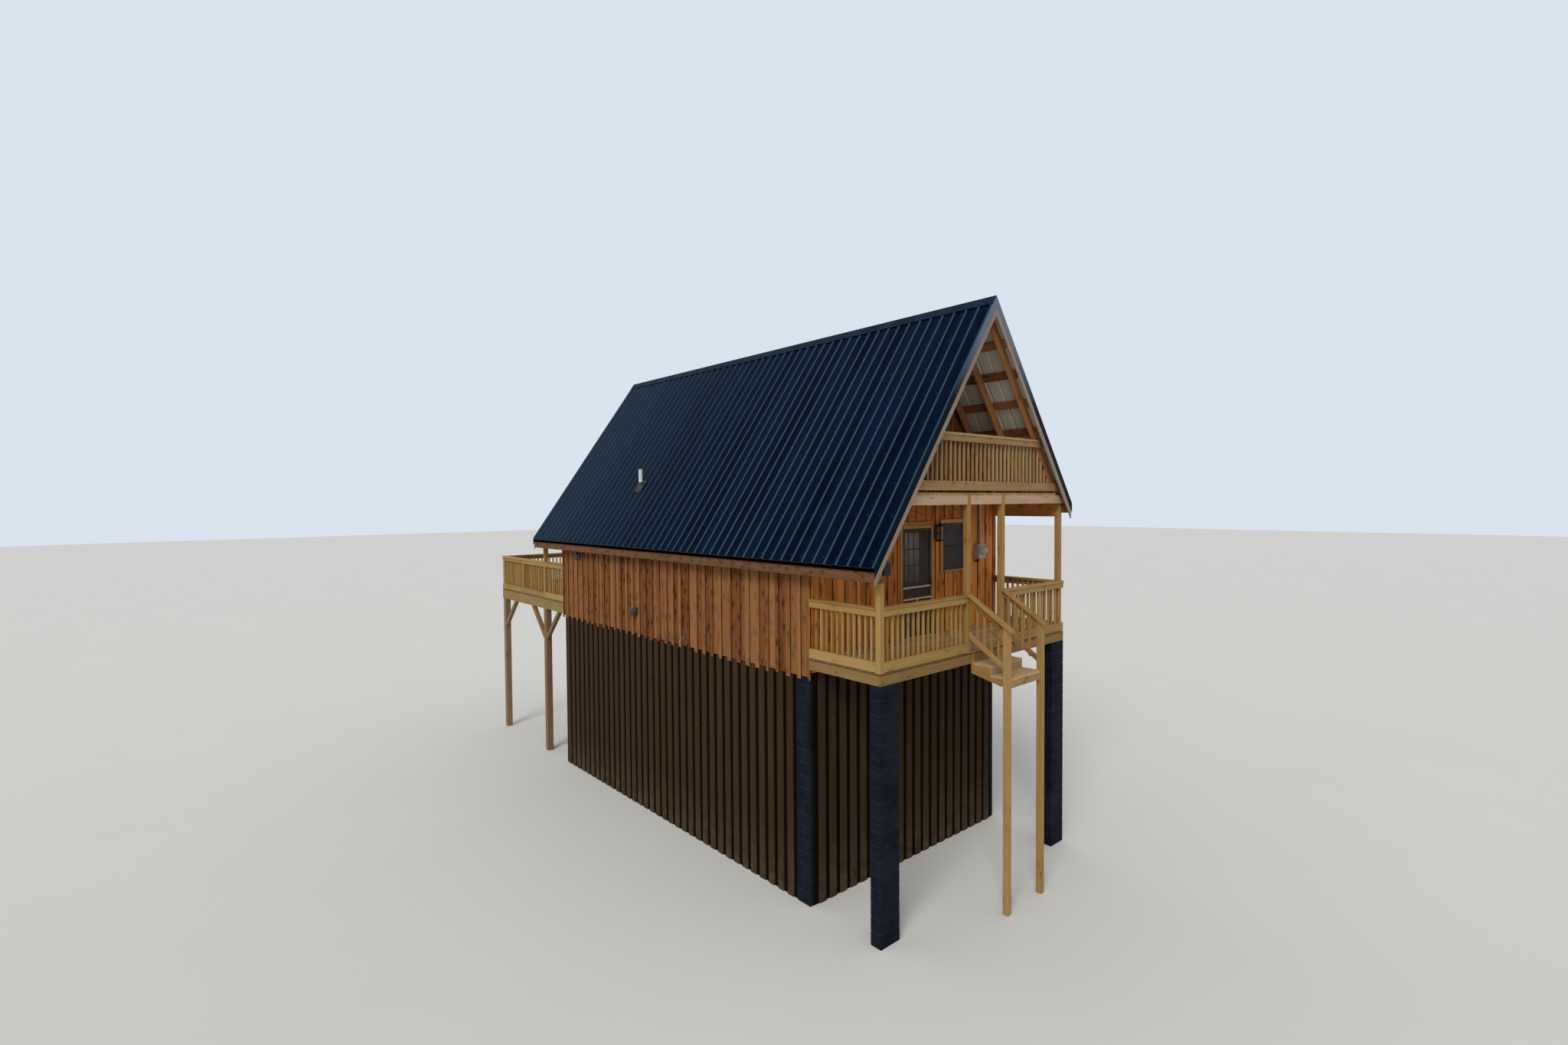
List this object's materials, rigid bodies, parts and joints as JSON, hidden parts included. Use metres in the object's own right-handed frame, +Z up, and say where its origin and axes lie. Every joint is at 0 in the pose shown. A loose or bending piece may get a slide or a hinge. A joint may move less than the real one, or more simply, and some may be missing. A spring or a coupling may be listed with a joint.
{
  "type": "a-frame cabin",
  "caption": "Cabin with a steep dark metal roof down to low eaves, timber siding, a railed front porch with stairs, a loft balcony and a railed rear deck on posts.",
  "frame": {"origin": "middle of the whole outline, at the lowest ground", "axes": "+Z up, -Y out of the front porch, +X to the right seen from the front"},
  "size_m": [5.2208, 14.4344, 9.2482],
  "materials": {
    "brown_metal": "satin",
    "black_block": "matt painted blocks",
    "brown_timber": "stained, rough sawn",
    "deck_timber": "treated boards",
    "cedar": "rough sawn boards",
    "navy_metal": "satin",
    "new_timber": "new treated timber",
    "white_paint": "painted",
    "pane": "clear",
    "dark_mesh": "woven mesh",
    "black_metal": "satin",
    "grey_metal": "satin",
    "pale_pipe": "satin"
  },
  "bodies": {
    "house": {"skirting": "brown_metal", "block_piers": "black_block", "floor_joists": "brown_timber", "house_floor": "deck_timber", "left_wall": "cedar", "right_wall": "cedar", "front_wall_left": "cedar", "front_wall_right": "cedar", "front_wall_over_door": "cedar", "rear_wall": "cedar", "gable_walls": "cedar", "loft_joists": "brown_timber", "loft_floor": "deck_timber", "rafters": "brown_timber", "ridge_board": "brown_timber", "purlins": "brown_timber", "roof_sheets": "navy_metal", "ridge_cap": "navy_metal", "rake_trims": "navy_metal", "rake_boards": "cedar", "eave_boards": "cedar", "eave_beams": "cedar", "balcony_beam": "new_timber", "balcony_railing": "new_timber", "porch_frame": "new_timber", "porch_deck": "deck_timber", "porch_posts": "new_timber", "porch_railings": "new_timber", "stair_stringers": "new_timber", "stair_steps": "deck_timber", "stair_railings": "new_timber", "rear_deck_frame": "new_timber", "rear_deck": "deck_timber", "rear_deck_posts": "brown_timber", "rear_deck_railings": "new_timber", "door_frame": "brown_timber", "window_frame": "brown_timber", "window_panes": "pane", "rear_door": "white_paint", "wall_lamps": "black_metal", "electric_meter": "grey_metal", "vents": "pale_pipe"},
    "front_door": {"front_door": "white_paint", "front_door_glass": "pane"},
    "screen_door": {"screen_door": "brown_timber", "screen_mesh": "dark_mesh"}
  },
  "joints": [
    {"name": "front_door_hinge", "type": "hinge", "parent": "house", "child": "front_door", "pos_m": [-0.25288, -4.95145, 4.7], "axis": [0, 0, 1], "range_deg": [0, 100]},
    {"name": "screen_door_hinge", "type": "hinge", "parent": "house", "child": "screen_door", "pos_m": [-0.25288, -5.13405, 4.7], "axis": [0, 0, -1], "range_deg": [0, 100]}
  ]
}
